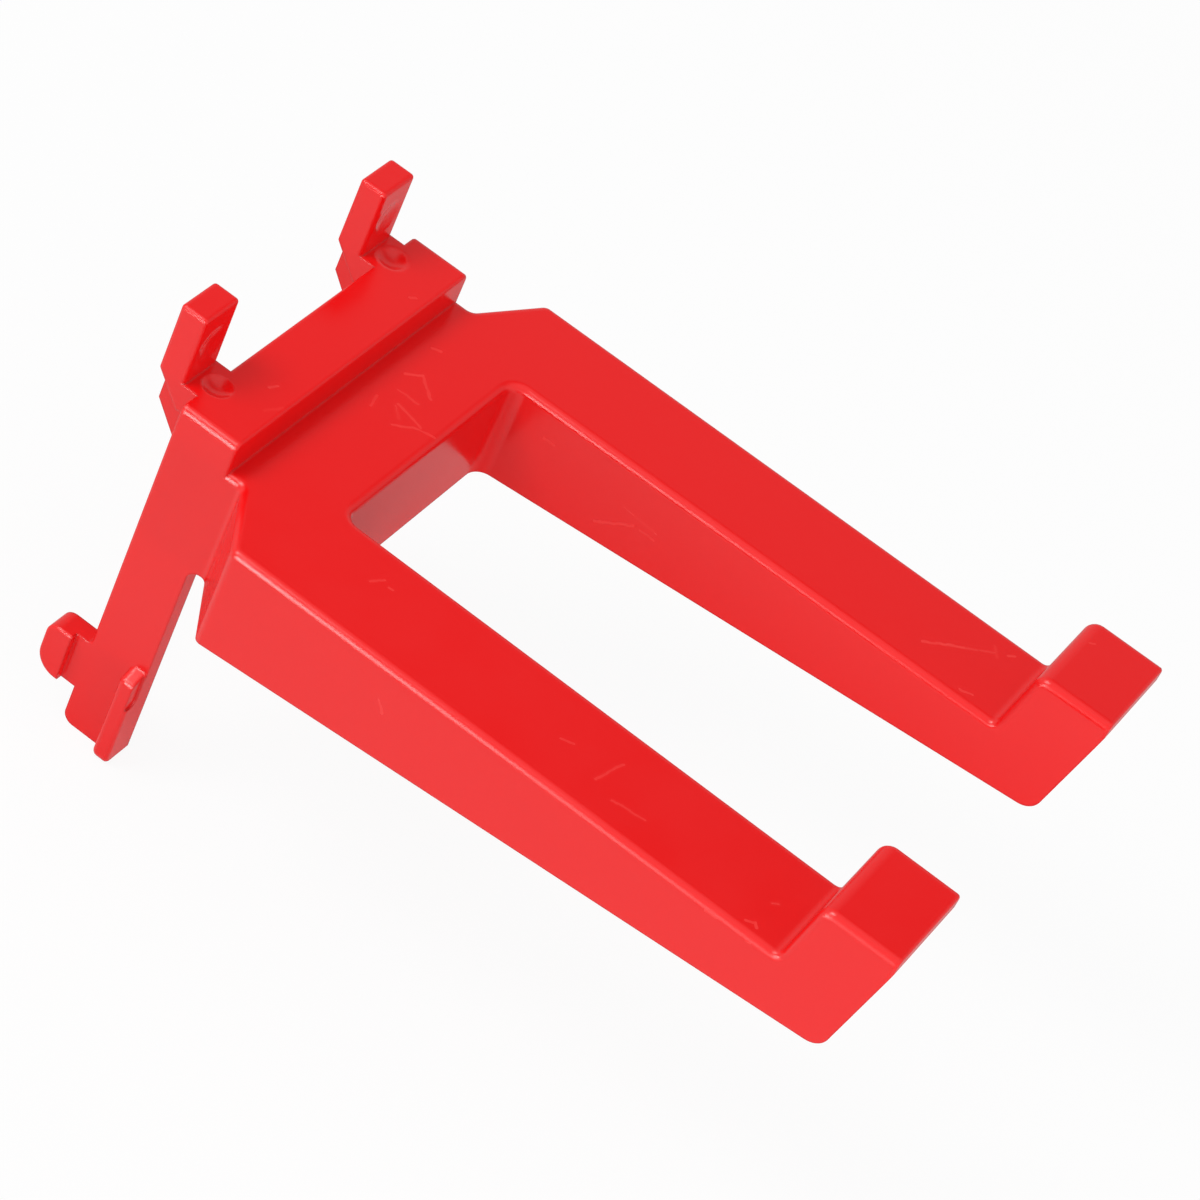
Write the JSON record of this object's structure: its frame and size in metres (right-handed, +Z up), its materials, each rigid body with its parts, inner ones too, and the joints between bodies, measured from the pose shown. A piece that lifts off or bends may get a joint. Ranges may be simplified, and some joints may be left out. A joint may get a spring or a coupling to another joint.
{
  "type": "garage utility hook",
  "caption": "One-piece moulded hook for a perforated tool panel: two broad prongs with turned-up lips, hooking lugs above, and sprung side plates with latch heads below.",
  "frame": {"origin": "on the rear face that bears on the tool panel, in the plane of symmetry, level with the centres of the two upper panel holes", "axes": "+X to the right seen from the front, +Y from the prongs into the panel, +Z up"},
  "size_m": [0.0662, 0.1073, 0.0625],
  "materials": {
    "red_plastic": "moulded, satin gloss, lightly scratched"
  },
  "bodies": {
    "root": {"utility_hook": "red_plastic"}
  },
  "joints": []
}
